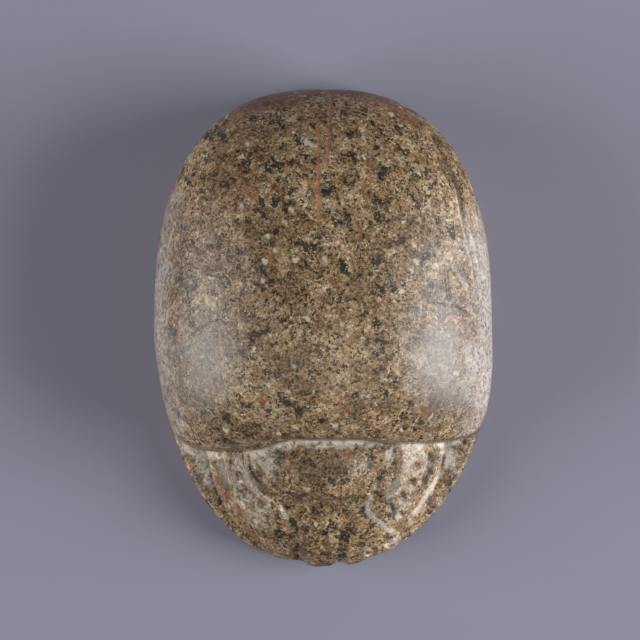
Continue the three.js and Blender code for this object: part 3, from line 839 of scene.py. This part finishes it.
# dark grime of the cut lines; the same colour is painted shade at the tail's rim, beside the right foreleg
# and over the head
GRIME_AND_SHADE = (colour(56, 47, 38), 0.75)
DEPOSIT = (colour(214, 203, 186), 1.0)
# grey of the painted sheen veils
PAINTED_SHEEN_GREY = (colour(125, 117, 107), 1.0)
# pale grey of the painted edge sheen
PAINTED_EDGE_SHEEN_GREY = (colour(192, 184, 179), 1.0)
IRON_STAIN = (colour(134, 80, 44), 0.65)
SEAM_PINK = (colour(172, 114, 84), 0.7)
POLISH = 0.39                        # roughness of the plain stone
DULL_GRAINS = 0.08                   # what single grains and deposit add to it
DULL_DEPOSIT = 0.35
SHINE = 0.55
BUMP = (0.10, 0.00004)               # strength, and depth in metres


def grain_cells(g, place, size):
    """Three random values per mineral grain of about the given size, and the distance from its middle."""
    cells = g.add("ShaderNodeTexVoronoi", {"Vector": place, "Scale": 1.0 / size, "Randomness": 1.0})
    split = g.add("ShaderNodeSeparateColor", {"Color": cells.outputs["Color"]})
    return split.outputs[0], split.outputs[1], split.outputs[2], cells.outputs["Distance"]


def clouds(g, place, size, detail=2.0, roughness=0.5):
    inputs = {"Vector": place, "Scale": 1.0 / size, "Detail": detail, "Roughness": roughness}
    return g.add("ShaderNodeTexNoise", inputs).outputs[0]


def shifted(g, place, offset):
    return g.add("ShaderNodeVectorMath", {0: place, 1: offset}, operation="ADD").outputs[0]


def warped(g, place, start, scale, detail, amount):
    """The places of start, pushed about by noise so that grains lose their straight sides."""
    push = g.add("ShaderNodeTexNoise", {"Vector": place, "Scale": scale, "Detail": detail}).outputs["Color"]
    push = shifted(g, push, (-0.5, -0.5, -0.5))
    push = g.add("ShaderNodeVectorMath", {0: push, "Scale": amount}, operation="SCALE").outputs[0]
    return shifted(g, start, push)


def varied(g, total, noise, amount):
    """A value raised or lowered by a noise that is even about one half."""
    return g.math("MULTIPLY_ADD", g.math("SUBTRACT", noise, 0.5), amount, total)


def covered(g, base, where, coat, how="MIX"):
    tint, strength = coat
    return g.blend(g.math("MULTIPLY", where, strength), base, tint, how)


def speckled_stone():
    """Grains of three sizes, pepper, clots and cream grains, and the marks that the strokes left, painted
    shade and painted highlights among them.
    """
    material = bpy.data.materials.new("speckled_stone")
    material.use_nodes = True
    tree = material.node_tree
    surface = tree.nodes["Principled BSDF"]
    g = Graph(tree)

    metres = g.add("ShaderNodeTexCoord").outputs["Object"]
    place = g.add("ShaderNodeVectorMath", {0: metres, "Scale": 1.0 / MM}, operation="SCALE").outputs[0]
    ragged = warped(g, place, place, 3.2, 2.0, 0.45)

    fine, _, fine_gloss, _ = grain_cells(g, ragged, FINE_GRAIN)
    middle, hue, mineral, _ = grain_cells(g, ragged, MIDDLE_GRAIN)
    coarse, coarse_hue, _, _ = grain_cells(g, ragged, COARSE_GRAIN)
    patches = clouds(g, place, 2.0, 4.0, 0.65)
    broad = clouds(g, shifted(g, place, (31.0, 7.0, 3.0)), 9.0, 2.0)

    tone = TONE_MIDDLE
    for layer, amount in ((fine, 0.46), (middle, 0.40), (coarse, 0.18), (patches, 0.90), (broad, 0.60)):
        tone = varied(g, tone, layer, amount)

    ramp = g.add("ShaderNodeValToRGB", {"Fac": tone})
    ramp.color_ramp.elements[0].position, first = GRAIN_TONES[0]
    ramp.color_ramp.elements[0].color = colour(*first)
    ramp.color_ramp.elements[1].position, last = GRAIN_TONES[-1]
    ramp.color_ramp.elements[1].color = colour(*last)
    for position, tint in GRAIN_TONES[1:-1]:
        ramp.color_ramp.elements.new(position).color = colour(*tint)
    base = ramp.outputs[0]

    # tints of single grains and of drifts of them
    rust_drift = clouds(g, shifted(g, place, (5.0, 50.0, 9.0)), 1.9, 3.0, 0.6)
    rusty = g.math("MULTIPLY", g.span(rust_drift, 0.45, 0.7), g.span(mineral, 0.45, 0.6))
    for where, tint in ((rusty, RUST_TINT), (g.span(hue, 0.76, 0.82), ROSE_TINT),
                        (g.span(coarse_hue, 0.66, 0.78), OLIVE_TINT), (g.span(hue, 0.16, 0.10), SLATE_TINT)):
        base = covered(g, base, where, tint, "MULTIPLY")

    # pepper of small dark grains, thicker in drifts, and dark clots
    pepper_drift = clouds(g, shifted(g, place, (70.0, 2.0, 40.0)), 1.3, 4.0, 0.65)
    pepper_share = g.span(pepper_drift, 0.42, 0.68, 0.02, 0.40)
    pepper, _, _, _ = grain_cells(g, shifted(g, ragged, (0.0, 9.0, 4.0)), PEPPER_GRAIN)
    peppered = g.math("LESS_THAN", pepper, pepper_share)
    base = covered(g, base, peppered, PEPPER)
    clot_noise = clouds(g, shifted(g, ragged, (12.0, 90.0, 33.0)), 1.5, 3.0, 0.55)
    clot_noise = varied(g, clot_noise, middle, 0.10)
    clot_noise = g.math("MULTIPLY_ADD", g.attribute("clot"), 0.36, clot_noise)
    clots = g.math("MULTIPLY", g.span(clot_noise, 0.61, 0.65), g.span(fine, 1.0, 0.85))
    base = covered(g, base, clots, DARK_GREEN)

    # sparse rounded cream grains
    lumpy = warped(g, place, ragged, 1.5, 3.0, 1.4)
    chance, bulk, _, from_middle = grain_cells(g, lumpy, CREAM_GRAIN)
    outer = g.math("MULTIPLY_ADD", bulk, 0.16, 0.14)
    inner = g.math("SUBTRACT", outer, 0.07)
    pale = g.math("MULTIPLY", g.span(from_middle, outer, inner), g.math("GREATER_THAN", chance, 0.76))
    pale = g.math("MAXIMUM", pale, g.attribute("pale"))
    pale = g.math("MULTIPLY", pale, g.span(middle, -0.3, 0.4, 0.5, 0.85))
    base = covered(g, base, pale, CREAM)

    # grime in the cut lines and painted shade, pale deposit, painted sheen and painted edge sheen, iron
    # stain, and the pink seam
    crumbly = clouds(g, ragged, 0.7, 3.0, 0.7)
    # grime in the cut lines, and painted shade where the strokes lay it
    grime = g.math("MULTIPLY", g.attribute("grime"), g.span(crumbly, 0.2, 0.55))
    base = covered(g, base, grime, GRIME_AND_SHADE)
    deposit = g.math("MULTIPLY", g.attribute("deposit"), g.span(crumbly, 0.25, 0.62))
    deposit = g.math("MULTIPLY", deposit, g.span(middle, -0.2, 0.55, 0.35, 1.0))
    base = covered(g, base, deposit, DEPOSIT)
    # painted sheen: grey veils standing in for the thorax's broad highlights
    base = covered(g, base, g.attribute("haze"), PAINTED_SHEEN_GREY)
    # painted edge sheen: pale grey highlight along the back's edges
    bloom = g.math("MULTIPLY", g.attribute("bloom"), g.span(middle, 0.0, 0.8, 0.3, 0.85))
    bloom = g.math("MULTIPLY", bloom, g.math("SUBTRACT", 1.0, grime))
    base = covered(g, base, bloom, PAINTED_EDGE_SHEEN_GREY)
    stain = g.math("MULTIPLY", g.attribute("stain"), g.span(crumbly, 0.2, 0.6))
    base = covered(g, base, stain, STAIN_TINT, "MULTIPLY")
    base = covered(g, base, stain, IRON_STAIN)
    seam = g.math("MULTIPLY", g.attribute("seam"), g.span(crumbly, 0.1, 0.5, 0.3, 1.0))
    base = covered(g, base, seam, SEAM_PINK)
    tree.links.new(base, surface.inputs["Base Color"])

    dullness = g.math("MULTIPLY_ADD", fine_gloss, DULL_GRAINS, POLISH)
    dullness = g.math("MULTIPLY_ADD", deposit, DULL_DEPOSIT, dullness, clamp=True)
    tree.links.new(dullness, surface.inputs["Roughness"])
    surface.inputs["Specular IOR Level"].default_value = SHINE

    relief = g.math("MULTIPLY_ADD", middle, 0.5, fine)
    relief = g.math("MULTIPLY_ADD", crumbly, 0.8, relief)
    strength, depth = BUMP
    bump = g.add("ShaderNodeBump", {"Height": relief, "Strength": strength, "Distance": depth})
    tree.links.new(bump.outputs[0], surface.inputs["Normal"])
    return material


# ---------------------------------------------------------------- studio, in metres
FLOOR_HALF = 2.0
FLOOR_COLOUR = (0.27, 0.265, 0.325, 1.0)
LAMP_COLOUR = (0.98, 1.0, 1.05)
LAMP_TARGET = (0.0, 0.0, 0.01)
LAMPS = (                            # name, place, size and watts
    ("left_box", (-0.66, -0.07, 0.20), (0.45, 0.7), 4.75),
    ("right_box", (0.66, -0.07, 0.20), (0.45, 0.7), 9.6),
    ("left_strip", (-0.55, -0.24, 0.27), (0.2, 0.3), 0.45),
)
ROOM_COLOUR = (0.8, 0.82, 0.9, 1.0)
ROOM_STRENGTH = 0.16
CAMERA_PLACE = (-0.36 * MM, 1.09 * MM, 0.559)
LENS = 256.0
SENSOR = 36.0


def pale_floor():
    mesh = bpy.data.meshes.new("floor")
    corners = [(sx * FLOOR_HALF, sy * FLOOR_HALF, 0) for sx, sy in ((-1, -1), (1, -1), (1, 1), (-1, 1))]
    mesh.from_pydata(corners, [], [(0, 1, 2, 3)])
    floor = bpy.data.objects.new("floor", mesh)
    bpy.context.scene.collection.objects.link(floor)
    paint = bpy.data.materials.new("pale_floor")
    paint.use_nodes = True
    surface = paint.node_tree.nodes["Principled BSDF"]
    surface.inputs["Base Color"].default_value = FLOOR_COLOUR
    surface.inputs["Roughness"].default_value = 0.9
    mesh.materials.append(paint)


def soft_box(name, place, size, power):
    light = bpy.data.lights.new(name, "AREA")
    light.shape = "RECTANGLE"
    light.size, light.size_y = size
    light.energy = power
    light.color = LAMP_COLOUR
    lamp = bpy.data.objects.new(name, light)
    lamp.location = place
    away = [a - b for a, b in zip(place, LAMP_TARGET)]
    lamp.rotation_mode = "QUATERNION"
    lamp.rotation_quaternion = Vector(away).to_track_quat("Z", "Y")
    bpy.context.scene.collection.objects.link(lamp)


def studio():
    for lamp in LAMPS:
        soft_box(*lamp)
    world = bpy.data.worlds.new("studio")
    world.use_nodes = True
    room = world.node_tree.nodes["Background"]
    room.inputs["Color"].default_value = ROOM_COLOUR
    room.inputs["Strength"].default_value = ROOM_STRENGTH
    bpy.context.scene.world = world
    bpy.context.scene.view_settings.view_transform = "Standard"


def camera():
    view = bpy.data.cameras.new("camera")
    view.sensor_width = SENSOR
    view.lens = LENS
    shot = bpy.data.objects.new("camera", view)
    shot.location = CAMERA_PLACE
    bpy.context.scene.collection.objects.link(shot)
    bpy.context.scene.camera = shot


# ---------------------------------------------------------------- assembly
pale_floor()
studio()
camera()

stone = stone_object()
carve(stone, speckled_stone())
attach(stone, "root")
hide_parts("scarab")
